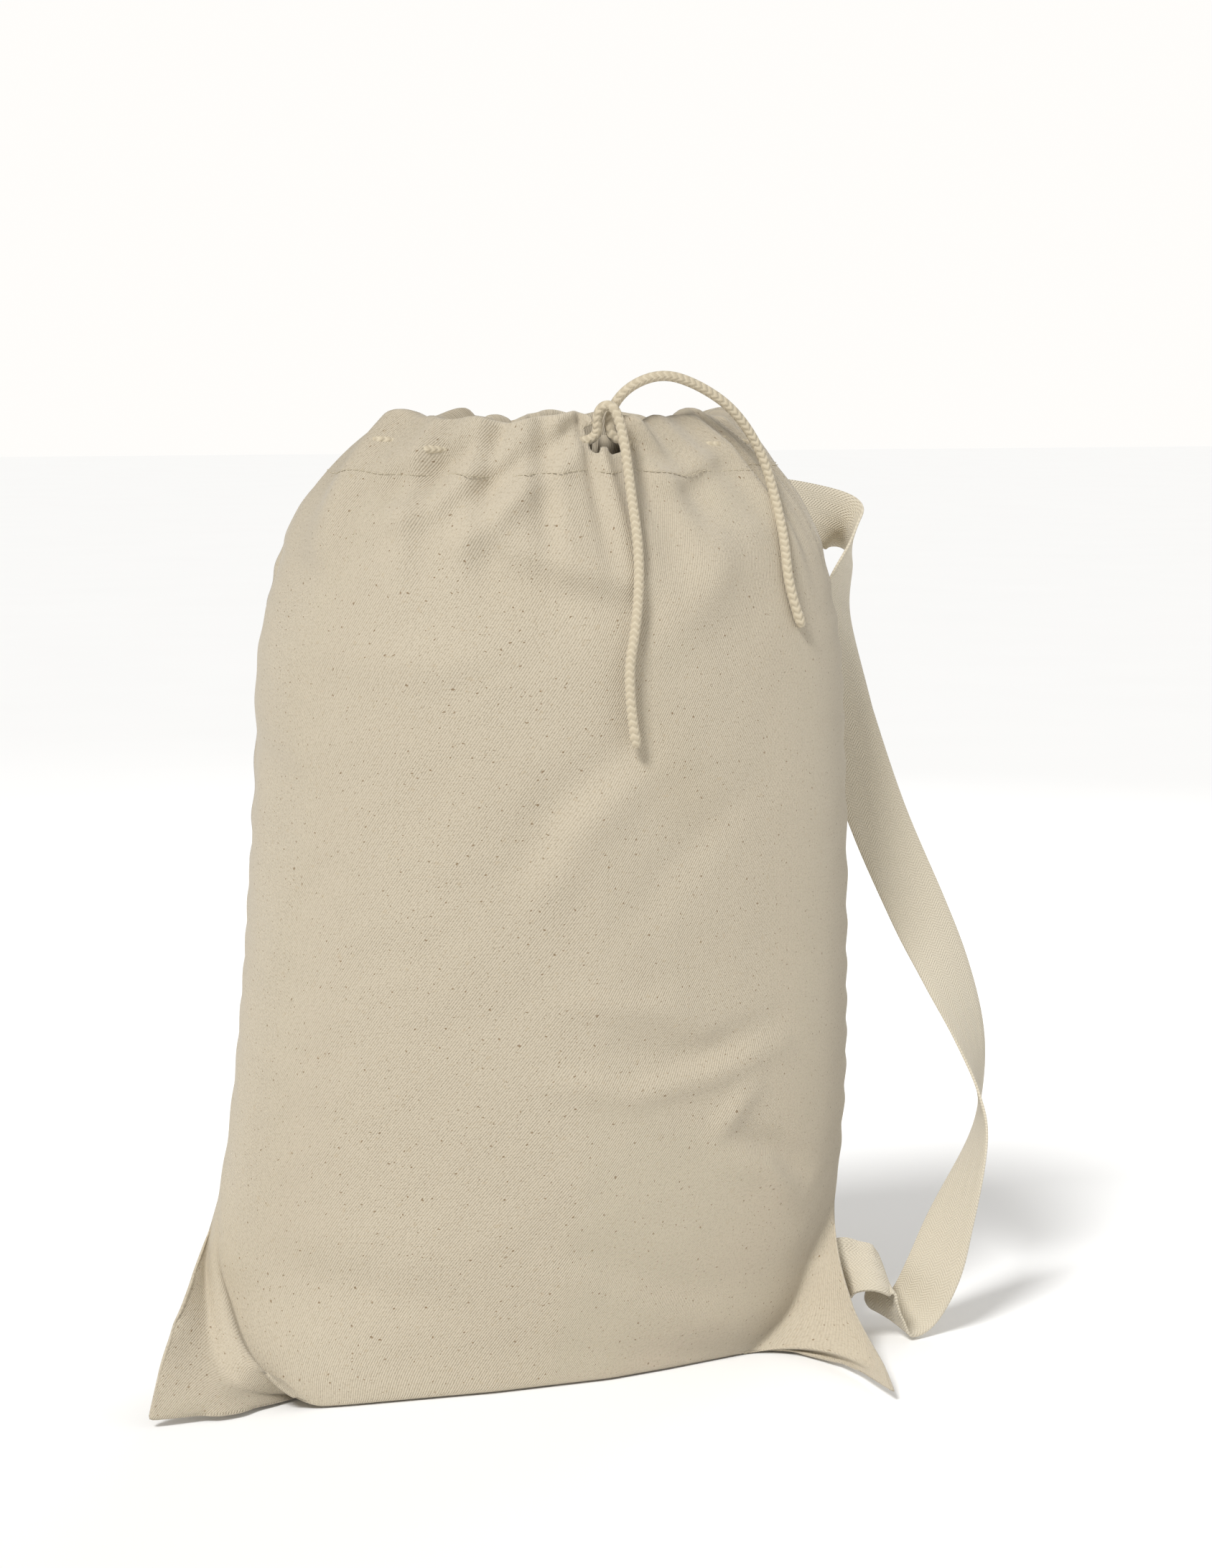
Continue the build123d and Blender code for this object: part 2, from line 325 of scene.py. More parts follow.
def thread_finish():
    finish = Finish("cotton_thread")
    place = finish.add("TexCoord", {}, {}, output=3)
    fibre = finish.noise(place, 900.0, 2.0)
    base = finish.blend(fibre, (0.56, 0.50, 0.38, 1), (0.44, 0.38, 0.27, 1))
    finish.set(Base_Color=base, Roughness=0.8, Normal=finish.bump(fibre, 0.0002))
    return finish.material


def floor_finish():
    finish = Finish("pale_floor")
    place = finish.add("TexCoord", {}, {}, output=3)
    grain = finish.noise(place, 3.0, 2.0)
    tint = finish.blend(grain, (0.93, 0.93, 0.925, 1), (0.95, 0.95, 0.945, 1))
    finish.set(Base_Color=tint, Roughness=0.9, Specular_IOR_Level=0.1)
    return finish.material


webbing, cord, thread = webbing_finish(), cord_finish(), thread_finish()
floor.data.materials.append(floor_finish())
print("finishes", [m.name for m in (webbing, cord, thread)])

# %% [markdown]
# ## The filled shape
# Oval sections give the filled bag: height, half width, half depth and sideways lean.
# The cloth starts wrapped on this shape, and the simulation then settles it.

# %% Sections of the filled bag
SECTIONS = np.array((
    (0.000, 0.1897, 0.0680, 0.0031), (0.015, 0.2020, 0.0750, 0.0050),
    (0.060, 0.2071, 0.0830, 0.0112), (0.141, 0.2040, 0.0880, 0.0236),
    (0.260, 0.1979, 0.0910, 0.0310), (0.380, 0.1928, 0.0910, 0.0335),
    (0.469, 0.1867, 0.0820, 0.0335), (0.529, 0.1703, 0.0660, 0.0329),
    (0.565, 0.1459, 0.0490, 0.0329), (0.582, 0.1306, 0.0415, 0.0335),
    (0.598, 0.1120, 0.0340, 0.0341),
))
SEAM_DROP = 0.030            # the side seams come forward near the floor
SEAM_DROP_LOW, SEAM_DROP_HIGH = 0.055, 0.220
SEAM_FORWARD, SEAM_BACK = 0.014, -0.018     # the seams sit a little round the bag


def bag_section(height):
    """Half width, half depth, lean and forward seam drop at each height."""
    z = SECTIONS[:, 0]
    height = np.clip(height, 0, z[-1])
    spans = np.clip(np.searchsorted(z, height, side="right") - 1, 0, len(z) - 2)
    step = z[spans + 1] - z[spans]
    t = (height - z[spans]) / step
    values = []
    for column in (1, 2, 3):
        y = SECTIONS[:, column]
        slope = np.gradient(y, z)
        from_below = (1 + 2 * t) * y[spans] + t * step * slope[spans]
        from_above = (3 - 2 * t) * y[spans + 1] - (1 - t) * step * slope[spans + 1]
        values.append((1 - t) ** 2 * from_below + t * t * from_above)
    drop = SEAM_DROP * np.clip((SEAM_DROP_HIGH - height) / (SEAM_DROP_HIGH - SEAM_DROP_LOW), 0, 1)
    return *values, drop


print("widest", round(float(SECTIONS[:, 1].max() * 2), 3), "m")

# %% [markdown]
# ## Wrapping the cut cloth
# Each panel is a rectangle. A point of it has a share across, from seam to seam, and a
# length up from the bottom seam. The lowest cloth lies under the bag, and the two
# corners stand out as flat ears, as they do on a full pillowcase.

# %% Wrap one panel round the filled shape
CUT_WIDTH, CUT_HEIGHT = 0.510, 0.672
UNDER, UNDER_LEAST = 0.060, 0.004     # cloth between the bottom seam and the lower edge
UNDER_SHARE = 0.30           # of the half width, where the cloth under the bag narrows
SEAM_MIDDLE, SEAM_HALF, SEAM_LIFT = 0.006, 0.225, 0.001   # the bottom seam on the floor
SEAM_DEPTH, SEAM_BOW, SEAM_BOW_POWER = -0.010, -0.060, 1.6
FLAT_HEIGHT, FLAT_SHARE = 0.075, 0.2  # where the front follows its lower edge
EARS = {                     # tip, a point along the bottom seam, one along the side seam
    -1: ((-0.246, -0.080, 0.005), (-0.150, -0.078, 0.002), (-0.222, -0.056, 0.085)),
    1: ((0.196, -0.172, 0.007), (0.193, -0.070, 0.003), (0.214, -0.062, 0.046)),
}
EAR_REACH = {-1: 0.125, 1: 0.115}
FRONT_REACH = {-1: 0.190, 1: 0.115}      # the front is drawn taut towards the left ear
EAR_PULL, FRONT_PULL = 1.30, 1.20
EAR_HALF, EAR_EDGE = 0.003, 0.05         # half the ear's thickness, reached this far in
LOWER_EDGE = np.array((      # the front's lower edge on the floor
    (-0.200, -0.070), (-0.120, -0.077), (-0.031, -0.080), (0.045, -0.076),
    (0.086, -0.067), (0.129, -0.055), (0.160, -0.046), (0.200, -0.040),
))


def unit(vector):
    vector = np.array(vector, float)
    return vector / np.linalg.norm(vector)


def ease(share):
    share = np.clip(share, 0, 1)
    return share * share * (3 - 2 * share)


def round_the_bag(across, height, face):
    """Places on the filled shape."""
    wide, deep, lean, drop = bag_section(height)
    left_drop = SEAM_BACK * ease((height - 0.02) / 0.12)
    drop = np.where(across < 0, left_drop, np.maximum(drop, SEAM_FORWARD))
    start = np.arccos(np.clip(drop / deep, -1, 1))
    span = start if face < 0 else math.pi - start
    angle = across * span
    return np.stack([wide * np.sin(angle) + lean, face * deep * np.cos(angle), height], axis=1)


def under_the_bag(places, across, up, under):
    """The same places, with the lowest cloth laid back to the bottom seam."""
    depth = SEAM_DEPTH + SEAM_BOW * np.abs(across) ** SEAM_BOW_POWER
    seam = np.stack([SEAM_MIDDLE + across * SEAM_HALF, depth, np.full_like(across, SEAM_LIFT)], axis=1)
    low = ease(up / under)[:, None]
    return np.where(up[:, None] < under[:, None], seam + (places - seam) * low, places)


def into_the_ears(places, across, up, face):
    """The same places, drawn out to the two flat ears."""
    for side, (tip, bottom, edge) in EARS.items():
        in_from_side = (1 - side * across) * CUT_WIDTH / 2
        flat = (np.array(tip) + in_from_side[:, None] * unit(np.subtract(bottom, tip))
                + up[:, None] * unit(np.subtract(edge, tip)))
        flat[:, 1] += face * EAR_HALF * ease((in_from_side + up) / EAR_EDGE)
        pull = ease(EAR_PULL * (1 - (in_from_side + up) / EAR_REACH[side]))
        if face < 0:
            flat[:, 1] = np.minimum(flat[:, 1], places[:, 1])
            taut = ease(FRONT_PULL * (1 - (in_from_side + up) / FRONT_REACH[side]))
            pull = np.maximum(pull, taut * ease(in_from_side / EAR_EDGE) * ease(up / EAR_EDGE))
        places = places + (flat - places) * pull[:, None]
    return places


def wrap_panel(across, up, face):
    """Places for cut points; face is -1 for the front panel and 1 for the back."""
    under = UNDER * ease((1 - np.abs(across)) / UNDER_SHARE) + UNDER_LEAST
    height = np.clip(up - under, 0, None) * SECTIONS[-1, 0] / (CUT_HEIGHT - under)
    places = round_the_bag(across, height, face)
    if face < 0:
        edge = np.interp(places[:, 0], LOWER_EDGE[:, 0], LOWER_EDGE[:, 1])
        flatten = ease(1 - height / FLAT_HEIGHT) * ease((1 - np.abs(across)) / FLAT_SHARE)
        places[:, 1] += (np.minimum(edge, places[:, 1]) - places[:, 1]) * flatten
    places = under_the_bag(places, across, up, under)
    return into_the_ears(places, across, up, face)


print("cut", CUT_WIDTH, "by", CUT_HEIGHT, "m per panel")

# %% [markdown]
# ## Cutting and sewing
# Two grids of the cut size are laid on each other and joined along the sides and the
# bottom by merging their edge points. The flat shape stays as a shape key, so the
# simulation knows how much cloth there really is.

# %% Cut and sew the panels
COLUMNS, ROWS = 92, 120


def cut_panel(name):
    deselect()
    bpy.ops.mesh.primitive_grid_add(x_subdivisions=COLUMNS, y_subdivisions=ROWS, size=1.0)
    panel = bpy.context.object
    panel.name = name
    for vertex in panel.data.vertices:
        x, y = vertex.co.x, vertex.co.y
        vertex.co = (x * CUT_WIDTH, (y + 0.5) * CUT_HEIGHT, 0.0)
    panel.data.uv_layers[0].name = "cut"
    for loop in panel.data.loops:
        place = panel.data.vertices[loop.vertex_index].co
        panel.data.uv_layers["cut"].data[loop.index].uv = (place.x, place.y)
    return panel


front = cut_panel("front_cloth")
back = cut_panel("back_cloth")
for polygon in back.data.polygons:
    polygon.material_index = 1
for panel in (front, back):
    panel.data.materials.append(canvas)
    panel.data.materials.append(canvas_back)
places = []
for panel, face in ((front, -1), (back, 1)):
    flat = np.array([v.co[:2] for v in panel.data.vertices])
    places.append(wrap_panel(flat[:, 0] / (CUT_WIDTH / 2), flat[:, 1], face))
print("panel points", len(front.data.vertices))

# %% Join the panels at their seams
SEWN_WITHIN = 0.0001


def sewn_edge(point):
    """Whether a cut point is on the sides or the bottom."""
    return abs(point.x) > CUT_WIDTH / 2 - SEWN_WITHIN or point.y < SEWN_WITHIN


deselect()
front.select_set(True)
back.select_set(True)
bpy.context.view_layer.objects.active = front
bpy.ops.object.join()
bag = front
wrapped = np.concatenate(places)
bpy.ops.object.mode_set(mode="EDIT")
bpy.ops.mesh.select_all(action="DESELECT")
bpy.ops.object.mode_set(mode="OBJECT")
target = bag.data.attributes.new("target", "FLOAT_VECTOR", "POINT")
for vertex in bag.data.vertices:
    vertex.select = sewn_edge(vertex.co)
    target.data[vertex.index].vector = wrapped[vertex.index]
bpy.ops.object.mode_set(mode="EDIT")
bpy.ops.mesh.remove_doubles(threshold=SEWN_WITHIN)
bpy.ops.object.mode_set(mode="OBJECT")
print("sewn bag points", len(bag.data.vertices))

# %% [markdown]
# ## Letting the cloth settle
# The cloth is a little larger than the shape it fills, so under slight pressure it
# buckles into the puckers of a real bag. The gathered mouth and the ear tips are held,
# and a weak pull everywhere keeps the bag on its outline.

# %% Gathers at the mouth
GATHER_FROM, GATHER_OVER, GATHERS = 0.545, 0.10, 11.0


def gather_ripple(across, up):
    """How far the gathered cloth near the mouth stands in or out."""
    near = ease((up - GATHER_FROM) / GATHER_OVER)
    turns = across * GATHERS + 1.3 * np.sin(across * 5.1 + 0.7)
    return near * (0.0036 * np.sin(turns * math.pi) + 0.0022 * np.sin(turns * 1.83 * math.pi + 1.1))


count = len(bag.data.vertices)
cut_points = np.array([v.co[:] for v in bag.data.vertices])
target = bag.data.attributes["target"]
target_points = np.array([t.vector[:] for t in target.data])
bag.data.attributes.remove(target)
across = cut_points[:, 0] / (CUT_WIDTH / 2)
up = cut_points[:, 1]
is_back = np.zeros(count, bool)
for polygon in bag.data.polygons:
    if polygon.material_index == 1:
        is_back[list(polygon.vertices)] = True
ripple = gather_ripple(across + is_back * 3.7, up)
lean_x = np.interp(target_points[:, 2], SECTIONS[:, 0], SECTIONS[:, 3])
outward = np.stack([target_points[:, 0] - lean_x, target_points[:, 1] * 2.0, 0 * up], axis=1)
outward /= np.linalg.norm(outward, axis=1)[:, None] + 1e-9
start_points = target_points + outward * ripple[:, None]
print("gathered points", count)

# %% Folds
# Each fold is a line of (x, z) points, then its width and height in metres.
FOLDS = (
    (((0.040, 0.592), (0.026, 0.584), (0.010, 0.566)), 0.0065, -0.0090),
    (((0.030, 0.578), (0.002, 0.560), (-0.044, 0.521)), 0.0090, 0.0075),
    (((0.012, 0.586), (-0.020, 0.562), (-0.052, 0.541)), 0.0080, -0.0050),
    (((0.008, 0.590), (-0.022, 0.570), (-0.057, 0.545), (-0.098, 0.534)), 0.0080, 0.0055),
    (((-0.015, 0.592), (-0.045, 0.572), (-0.082, 0.552)), 0.0080, -0.0050),
    (((-0.030, 0.594), (-0.064, 0.580), (-0.096, 0.560)), 0.0070, 0.0040),
    (((0.066, 0.590), (0.080, 0.580), (0.098, 0.565)), 0.0070, -0.0065),
    (((0.088, 0.562), (0.112, 0.566), (0.134, 0.580)), 0.0080, 0.0045),
    (((0.085, 0.545), (0.110, 0.548), (0.130, 0.540)), 0.0260, -0.0055),
    (((-0.022, 0.527), (0.035, 0.505), (0.078, 0.494)), 0.0120, 0.0040),
    (((-0.050, 0.512), (0.020, 0.488), (0.060, 0.480)), 0.0160, -0.0035),
    (((0.138, 0.522), (0.108, 0.494), (0.076, 0.462)), 0.0160, 0.0035),
    (((-0.130, 0.520), (-0.140, 0.490)), 0.0180, -0.0040),
    (((-0.110, 0.455), (-0.060, 0.450), (-0.020, 0.462)), 0.0120, 0.0025),
    (((0.000, 0.305), (0.022, 0.350), (0.080, 0.392)), 0.0140, 0.0035),
    (((-0.024, 0.318), (0.002, 0.362), (0.050, 0.398)), 0.0140, -0.0030),
    (((0.060, 0.300), (0.100, 0.345), (0.150, 0.372)), 0.0150, -0.0025),
    (((0.020, 0.242), (0.075, 0.236), (0.106, 0.222)), 0.0090, 0.0035),
    (((0.000, 0.197), (0.056, 0.183), (0.112, 0.192), (0.160, 0.205)), 0.0085, 0.0045),
    (((0.050, 0.214), (0.100, 0.205), (0.158, 0.222)), 0.0090, -0.0035),
    (((0.112, 0.150), (0.128, 0.170), (0.142, 0.180)), 0.0075, 0.0040),
    (((0.120, 0.138), (0.150, 0.124), (0.176, 0.098)), 0.0080, 0.0050),
    (((0.132, 0.152), (0.160, 0.140), (0.184, 0.120)), 0.0070, -0.0045),
    (((0.000, 0.098), (0.060, 0.068), (0.128, 0.040)), 0.0130, -0.0035),
    (((0.010, 0.074), (0.070, 0.048), (0.135, 0.024)), 0.0110, 0.0030),
    (((0.122, 0.440), (0.122, 0.280), (0.120, 0.110)), 0.0016, -0.0006),
    (((-0.190, 0.100), (-0.130, 0.075), (-0.060, 0.060)), 0.0140, -0.0025),
    (((-0.180, 0.420), (-0.150, 0.380), (-0.155, 0.330)), 0.0140, -0.0025),
)
BACK_FOLDS = (
    (((-0.060, 0.590), (-0.080, 0.560), (-0.110, 0.530)), 0.0085, 0.0060),
    (((-0.020, 0.592), (-0.030, 0.555), (-0.050, 0.515)), 0.0085, -0.0055),
    (((0.020, 0.592), (0.014, 0.550), (-0.010, 0.500)), 0.0090, 0.0055),
    (((0.060, 0.590), (0.052, 0.560), (0.050, 0.520)), 0.0080, -0.0050),
    (((0.100, 0.585), (0.100, 0.565)), 0.0080, 0.0040),
    (((-0.150, 0.440), (-0.080, 0.400), (0.000, 0.410)), 0.0150, -0.0035),
    (((-0.100, 0.300), (-0.020, 0.260), (0.080, 0.280)), 0.0150, 0.0035),
    (((-0.120, 0.180), (-0.040, 0.150), (0.030, 0.160)), 0.0120, -0.0035),
    (((0.060, 0.140), (0.110, 0.110), (0.160, 0.105)), 0.0100, 0.0040),
    (((-0.160, 0.120), (-0.110, 0.090), (-0.060, 0.100)), 0.0110, 0.0035),
)


def fold_lift(points, folds):
    """How far each point is pushed out by the folds near it."""
    lift = np.zeros(len(points))
    spot = points[:, [0, 2]]
    for line, width, rise in folds:
        line = np.array(line)
        steps = np.linalg.norm(np.diff(line, axis=0), axis=1)
        whole, before = steps.sum(), np.concatenate([[0], np.cumsum(steps)])
        nearest = np.full(len(points), 9.0)
        share = np.zeros(len(points))
        for index, step in enumerate(steps):
            way = (line[index + 1] - line[index]) / step
            along = np.clip((spot - line[index]) @ way, 0, step)
            gap = np.linalg.norm(spot - line[index] - along[:, None] * way, axis=1)
            share = np.where(gap < nearest, (before[index] + along) / whole, share)
            nearest = np.minimum(gap, nearest)
        taper = 0.25 + 0.75 * np.sin(math.pi * np.clip(share, 0.02, 0.98)) ** 0.7
        lift += rise * taper * np.exp(-(nearest / width) ** 2)
    return lift


fold_strength = 1 + 0.5 * ease((up - 0.50) / 0.06)
folded = np.where(is_back, fold_lift(target_points, BACK_FOLDS), fold_lift(target_points, FOLDS))
start_points = start_points + outward * (fold_strength * folded)[:, None]
print("folds", len(FOLDS), "front", len(BACK_FOLDS), "back")

# %% Puckered seams and held points
PUCKER, PUCKER_LENGTH, PUCKER_REACH = 0.0009, 0.031, 0.09
GATHERED_FROM = 0.53
MOUTH_SHARE = 0.66           # cut width left at the mouth once gathered
HELD_EVERYWHERE = 0.35
EAR_TIP_HELD, EAR_TIP_EASED = 0.040, 0.030

pucker = (PUCKER * np.sin(up * 2 * math.pi / PUCKER_LENGTH + 2.6 * np.sin(up * 23 + across))
          * np.exp(-(1 - np.abs(across)) / PUCKER_REACH)
          * ease((up - 0.10) / 0.06) * ease((0.62 - up) / 0.04))
start_points = start_points + outward * pucker[:, None]

edge_wave = (0.0022 * np.sin(across * 9.3 + 0.6) + 0.0016 * np.sin(across * 23.0 + 2.0)
             + 0.0010 * np.sin(across * 41.0)) - 0.0022
start_points[:, 2] += edge_wave * ease((up - 0.60) / 0.07)

narrow = 1 - (1 - MOUTH_SHARE) * ease((up - GATHERED_FROM) / (CUT_HEIGHT - GATHERED_FROM))
rest_points = np.stack([cut_points[:, 0] * narrow, cut_points[:, 1],
                        np.where(is_back, 0.002, -0.002)], axis=1)
corner_gap = (1 - np.abs(across)) * CUT_WIDTH / 2 + up
held = np.full(count, HELD_EVERYWHERE)
held = np.maximum(held, ease((up - CUT_HEIGHT + 0.030) / 0.026))
held = np.maximum(held, ease((EAR_TIP_HELD - corner_gap) / EAR_TIP_EASED))
print("held points", int((held > 0.9).sum()))

# %% Run the cloth
FRAMES = 10
MOST_MOVE = 0.006            # a point moves at most this far from the wrapped shape
FLOOR_GAP = 0.0012


def place_vertices(mesh, points):
    mesh.vertices.foreach_set("co", np.asarray(points, np.float32).ravel())
    mesh.update()


def settle(bag, frames):
    """Runs the cloth from the wrapped shape and returns the settled points."""
    place_vertices(bag.data, start_points)
    bag.shape_key_add(name="wrapped")
    rest = bag.shape_key_add(name="cut")
    rest.data.foreach_set("co", rest_points.astype(np.float32).ravel())
    group = bag.vertex_groups.new(name="held")
    for index, weight in enumerate(held):
        group.add([index], float(weight), "REPLACE")
    modifier = bag.modifiers.new("cloth", "CLOTH")
    cloth = modifier.settings
    cloth.quality = 5
    cloth.mass = 0.25
    cloth.tension_stiffness = cloth.compression_stiffness = 24
    cloth.shear_stiffness = 9
    cloth.bending_model = "ANGULAR"
    cloth.bending_stiffness = 0.9
    cloth.tension_damping = cloth.compression_damping = 8
    cloth.shear_damping = 6
    cloth.air_damping = 4
    cloth.vertex_group_mass = "held"
    cloth.pin_stiffness = 1.0
    cloth.rest_shape_key = rest
    cloth.use_pressure = True
    cloth.uniform_pressure_force = 4.0
    cloth.effector_weights.gravity = 0.0
    modifier.collision_settings.use_collision = False
    modifier.point_cache.frame_start, modifier.point_cache.frame_end = 1, frames
    for number in range(1, frames + 1):
        scene.frame_set(number)
    graph = bpy.context.evaluated_depsgraph_get()
    settled = np.array([v.co[:] for v in bag.evaluated_get(graph).data.vertices])
    bag.modifiers.remove(modifier)
    bag.shape_key_clear()
    scene.frame_set(1)
    return settled


settled = settle(bag, FRAMES)
move = settled - start_points
length = np.linalg.norm(move, axis=1)[:, None] + 1e-9
move *= np.minimum(1, MOST_MOVE / length)
settled = start_points + move
settled[:, 2] = np.maximum(settled[:, 2], FLOOR_GAP)
place_vertices(bag.data, settled)
print("cloth moved up to", round(float(length.max()), 4), "m")

# %% [markdown]
# ## Turning in the hem
# The top edge rolls over and runs down inside the bag as the inner layer of the hem.
# Extruding the open edge inwards and then down gives one continuous cloth.

# %% Hem turned in
MOUTH_CENTRE = (0.034, 0.0, 0.598)
MOUTH_DEPTH_SHRINK = 0.97
HEM_TURNS = (                # each turn of the edge: its shrink and its rise
    (0.985, 0.0016), (0.955, 0.0012), (0.92, -0.0026), (0.90, -0.011), (0.93, -0.020),
)


def open_edge():
    """Selects the open edge at the mouth, in edit mode."""
    bpy.ops.mesh.select_all(action="DESELECT")
    bpy.ops.mesh.select_mode(type="EDGE")
    bpy.ops.mesh.select_non_manifold(use_wire=False, use_boundary=True, use_multi_face=False,
                                     use_non_contiguous=False, use_verts=False)


take(bag)
bpy.ops.object.mode_set(mode="EDIT")
open_edge()
for shrink, rise in HEM_TURNS:
    bpy.ops.mesh.extrude_region_move()
    bpy.ops.transform.resize(value=(shrink, shrink * MOUTH_DEPTH_SHRINK, 1.0),
                             center_override=MOUTH_CENTRE)
    bpy.ops.transform.translate(value=(0, 0, rise))
bpy.ops.object.mode_set(mode="OBJECT")
print("with hem", len(bag.data.vertices), "points")

# %% [markdown]
# ## Cord exit
# Both ends of the cord leave through a gap where the front hem isn't sewn shut.

# %% Open the cord exit
EXIT_LEFT, EXIT_RIGHT, EXIT_LOW = 0.044, 0.063, 0.577
take(bag)
bpy.ops.object.mode_set(mode="EDIT")
bpy.ops.mesh.select_mode(type="FACE")
bpy.ops.object.mode_set(mode="OBJECT")
for polygon in bag.data.polygons:
    middle = polygon.center
    polygon.select = (EXIT_LEFT < middle.x < EXIT_RIGHT and middle.z > EXIT_LOW and middle.y < 0)
removed = sum(p.select for p in bag.data.polygons)
bpy.ops.object.mode_set(mode="EDIT")
bpy.ops.mesh.delete(type="FACE")
bpy.ops.object.mode_set(mode="OBJECT")
print("faces opened at the exit", removed)

# %% [markdown]
# ## Two sheets with thickness
# The panels part along their seams, and each is given the thickness of its canvas.

# %% Part the panels and thicken them
CANVAS_THICKNESS, HEM_TURN_IN = 0.0010, 0.032


def thicken(sheet):
    """Smooths a sheet and gives it its canvas, all of it inside the sheet."""
    take(sheet)
    smooth = sheet.modifiers.new("smooth", "SUBSURF")
    smooth.levels = smooth.render_levels = 1
    bpy.ops.object.modifier_apply(modifier=smooth.name)
    shell = sheet.modifiers.new("thickness", "SOLIDIFY")
    shell.thickness = CANVAS_THICKNESS
    shell.offset = -1.0
    bpy.ops.object.modifier_apply(modifier=shell.name)
    bpy.ops.object.shade_smooth()


take(bag)
bpy.ops.object.mode_set(mode="EDIT")
bpy.ops.mesh.select_mode(type="FACE")
bpy.ops.mesh.select_all(action="SELECT")
bpy.ops.mesh.normals_make_consistent(inside=False)
bpy.ops.mesh.select_all(action="DESELECT")
bpy.ops.object.mode_set(mode="OBJECT")
for polygon in bag.data.polygons:
    polygon.select = polygon.material_index == 1
bpy.ops.object.mode_set(mode="EDIT")
bpy.ops.mesh.separate(type="SELECTED")
bpy.ops.object.mode_set(mode="OBJECT")
back = [o for o in bpy.context.selected_objects if o is not bag][0]
front = bag
front.name, back.name = "front_cloth", "back_cloth"
for sheet in (front, back):
    thicken(sheet)
    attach(sheet, "bag")
    print(sheet.name, len(sheet.data.polygons), "faces")
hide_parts("front_panel", "front_hem", "exit_tacks", "left_side_seam", "right_side_seam")
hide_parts("back_panel", "back_hem", "bottom_seam")

# %% [markdown]
# ## Drawcord
# A limp cotton braid. Its line is a smooth spline with the same control points as the
# CAD route, and the tube is wrapped round that line with its own UV for the knit.

# %% Lines and pieces
def line_length(line):
    return sum((b - a).length for a, b in zip(line, line[1:]))


def distances(line):
    """How far along a line each of its points is."""
    travelled = [0.0]
    for a, b in zip(line, line[1:]):
        travelled.append(travelled[-1] + (b - a).length)
    return travelled


def new_piece(name, verts, faces, material, uvs=None):
    """A piece from its points and faces, selected alone."""
    mesh = bpy.data.meshes.new(name)
    mesh.from_pydata(verts, [], faces)
    if uvs:
        layer = mesh.uv_layers.new(name="cut")
        for index, uv in enumerate(uvs):
            layer.data[index].uv = uv
    mesh.materials.append(material)
    piece = bpy.data.objects.new(name, mesh)
    scene.collection.objects.link(piece)
    take(piece)
    return piece


def face_outwards():
    """Turns the faces of the taken piece outwards."""
    bpy.ops.object.mode_set(mode="EDIT")
    bpy.ops.mesh.select_all(action="SELECT")
    bpy.ops.mesh.normals_make_consistent(inside=False)
    bpy.ops.object.mode_set(mode="OBJECT")


print("helpers for lines and pieces ready")

# %% Cord tails
CORD_DIAMETER = 0.00635
TUBE_SIDES, SMOOTH_UNDER = 14, 50            # the angle in degrees
TIP_SWELL, TIP_DIP = 0.10, 0.35
LEFT_TAIL = [
    (0.035, -0.0345, 0.582), (0.051, -0.0345, 0.582), (0.0485, -0.038, 0.602),
    (0.0575, -0.044, 0.606), (0.062, -0.050, 0.587), (0.063, -0.061, 0.553),
    (0.0635, -0.077, 0.516), (0.059, -0.087, 0.478), (0.049, -0.095, 0.438),
    (0.055, -0.097, 0.400),
]
RIGHT_TAIL = [
    (0.071, -0.0345, 0.582), (0.0582, -0.0345, 0.582), (0.0582, -0.034, 0.602),
    (0.071, -0.036, 0.617), (0.092, -0.038, 0.624), (0.115, -0.037, 0.617),
    (0.139, -0.0355, 0.602), (0.158, -0.032, 0.577), (0.166, -0.036, 0.549),
    (0.169, -0.047, 0.520), (0.168, -0.057, 0.491), (0.177, -0.057, 0.467),
]


def cord_line(points):
    """Even points along the smooth line of a route."""
    data = bpy.data.curves.new("route", "CURVE")
    data.dimensions = "3D"
    data.resolution_u = 24
    spline = data.splines.new("NURBS")
    spline.points.add(len(points) - 1)
    for point, place in zip(spline.points, points):
        point.co = (*place, 1.0)
    spline.order_u = 3
    spline.use_endpoint_u = True
    holder = bpy.data.objects.new("route", data)
    scene.collection.objects.link(holder)
    graph = bpy.context.evaluated_depsgraph_get()
    graph.update()
    mesh = bpy.data.meshes.new_from_object(holder.evaluated_get(graph))
    line = [v.co.copy() for v in mesh.vertices]
    bpy.data.objects.remove(holder)
    bpy.data.curves.remove(data)
    bpy.data.meshes.remove(mesh)
    return line


